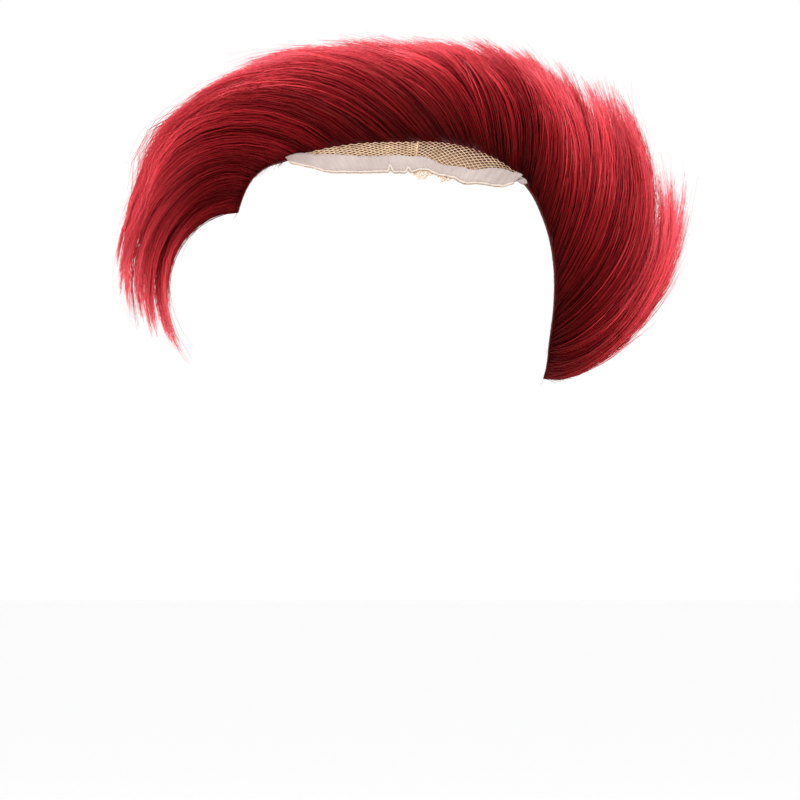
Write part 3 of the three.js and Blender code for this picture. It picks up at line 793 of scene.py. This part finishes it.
def make_net(side, name, node, material):
    top = lambda angle: read(CAP, HAIR_HALF, angle) - NET["under_hair"]
    bottom = lambda angle: np.maximum(tape_edge(angle) - NET["above_edge"], top(angle) + NET["narrowest"])
    height = lambda angle, f: np.full_like(angle, NET["height"])
    nets = [(net, net_threads(net["ends"], net, top, bottom, height)) for net in NETS]
    if side > 0:
        nets += [(STRAY, stray_net(stray)) for stray in STRAY_NETS]
    place = lambda ways: np.array([on_cap(way[:, 0], side * way[:, 1], way[:, 2]) for way in ways])
    threads = place([way for _, (net_ways, _) in nets for way in net_ways])
    radii = np.concatenate([np.full((len(ways), NET["points"]), net["thread"]) for net, (ways, _) in nets])
    knots = place([way for _, (_, knot_ways) in nets for way in knot_ways])

    f = np.linspace(0, 1, SEAM["points"])[None, :]
    seam_half = SEAM["half_width"] * np.array([-1, 1])[:, None]
    seam_angle = SEAM["angle"] + seam_half * np.cos(SEAM["waves"] * f)
    seam_across = top(seam_angle) + (bottom(seam_angle) - top(seam_angle)) * f
    seam = on_cap(seam_angle, side * seam_across, np.full_like(seam_angle, SEAM["height"]))
    shape = joined([
        tubes(threads, radii, NET["sides"]),
        tubes(knots, np.broadcast_to(KNOT["radii"], knots.shape[:2]), NET["sides"]),
        tubes(seam, np.full(seam.shape[:2], SEAM["radius"]), SEAM["sides"]),
    ])
    made = piece(name, shape, material)
    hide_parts(node)


def strip(side, angle, rows, top, edge, height, thickness):
    """A closed strip of tape from its top to its edge. height tells how high its inner face lies."""
    row = np.linspace(0, 1, rows)[None, :]
    across = side * (top + (edge - top) * row)
    low = height(angle, row)
    facing = slice(None, None, -1) if side > 0 else slice(None)
    return wall(on_cap(angle, across, low + thickness)[:, facing], on_cap(angle, across, low)[:, facing])


def tape_tail(side):
    """The end of the tape behind the wing."""
    columns, rows = TAIL["grid"]
    angle = np.linspace(TAIL_EDGE[0, 0], TAIL_EDGE[-1, 0], columns)[:, None]
    top = read(CAP, HAIR_HALF, angle) - TAIL["under_hair"]
    edge = np.interp(angle, *TAIL_EDGE.T)
    height = lambda angle, row: TAIL["height"] + waves(TAIL_WRINKLES, angle, row)
    return strip(side, angle, rows, top, edge, height, TAIL["thickness"])


def tape_stitches(side):
    first, last = np.array(TAPE["ends"]) + STITCH["from_ends"]
    angle = np.arange(first, last, STITCH["pitch"])[:, None]
    across = side * (tape_edge(angle) - np.array(STITCH["above_edge"]))
    height = tape_height(angle, STITCH["row"]) + TAPE["thickness"] + np.array(STITCH["rise"])
    paths = on_cap(np.broadcast_to(angle, across.shape), across, height)
    return tubes(paths, np.full(across.shape, STITCH["radius"]), STITCH["sides"])


def make_tape(side, hand, tape, cream):
    columns, rows = TAPE["grid"]
    angle = np.linspace(*TAPE["ends"], columns)
    column = angle[:, None]
    band = strip(side, column, rows, tape_top(column), tape_edge(column), tape_height, TAPE["thickness"])
    made = piece(f"binding_tape_{hand}", joined([band, tape_tail(side)]), tape)
    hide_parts(f"edge_tape_{hand}")

    path = on_cap(angle, side * tape_edge(angle), tape_height(angle, 1.0) + TAPE["thickness"] / 2)[None]
    rolled = tubes(path, np.full((1, columns), ROLL["radius"]), ROLL["sides"])
    roll = piece(f"tape_roll_{hand}", joined([rolled, tape_stitches(side)]), cream)


def make_cap():
    net, tape, cream = net_material(), tape_material(), roll_material()
    make_panel()
    for side, hand in ((1, "left"), (-1, "right")):
        make_net(side, f"net_wing_{hand}", f"side_net_{hand}", net)
        make_tape(side, hand, tape, cream)


# Stage, light and camera

def in_metres(lengths):
    return [length * MM for length in lengths]


def make_stage():
    mesh = bpy.data.meshes.new("floor")
    reach = FLOOR["reach"]
    corners = [(-reach, -reach), (reach, -reach), (reach, reach), (-reach, reach)]
    mesh.from_pydata([in_metres((x, y, FLOOR["z"])) for x, y in corners], [], [(0, 1, 2, 3)])
    mesh.materials.append(Shader("floor_pale", Base_Color=(0.97, 0.97, 0.97, 1), Roughness=0.9).material)
    floor = bpy.data.objects.new("floor", mesh)
    bpy.context.scene.collection.objects.link(floor)
    floor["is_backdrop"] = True


def add_light(name, place, size, power):
    lamp = bpy.data.lights.new(name, "AREA")
    lamp.shape = "RECTANGLE"
    lamp.size, lamp.size_y = in_metres(size)
    lamp.energy = power
    made = bpy.data.objects.new(name, lamp)
    made.location = in_metres(place)
    way = Vector(in_metres(LIGHT_AIM)) - Vector(in_metres(place))
    made.rotation_euler = way.to_track_quat("-Z", "Y").to_euler()
    bpy.context.scene.collection.objects.link(made)


def make_light():
    world = bpy.data.worlds.new("studio")
    world.use_nodes = True
    background = world.node_tree.nodes["Background"]
    background.inputs["Color"].default_value = (1, 1, 1, 1)
    background.inputs["Strength"].default_value = 1.0
    bpy.context.scene.world = world
    for light in LIGHTS:
        add_light(**light)
    bpy.context.scene.view_settings.view_transform = "Standard"


def make_camera():
    lens = bpy.data.cameras.new("camera")
    lens.sensor_width = CAMERA["sensor"]
    lens.lens = CAMERA["sensor"] * CAMERA["distance"] / CAMERA["view"]
    camera = bpy.data.objects.new("camera", lens)
    camera.location = in_metres((CAMERA["distance"], CAMERA["y"], CAMERA["z"]))
    camera.rotation_euler = (np.pi / 2, 0, np.pi / 2)
    bpy.context.scene.collection.objects.link(camera)
    bpy.context.scene.camera = camera


make_camera()
make_stage()
make_light()
make_hair()
make_cap()

sizes = {"cad": [list(corner) for corner in cad_box], "visual": [list(corner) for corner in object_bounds()]}
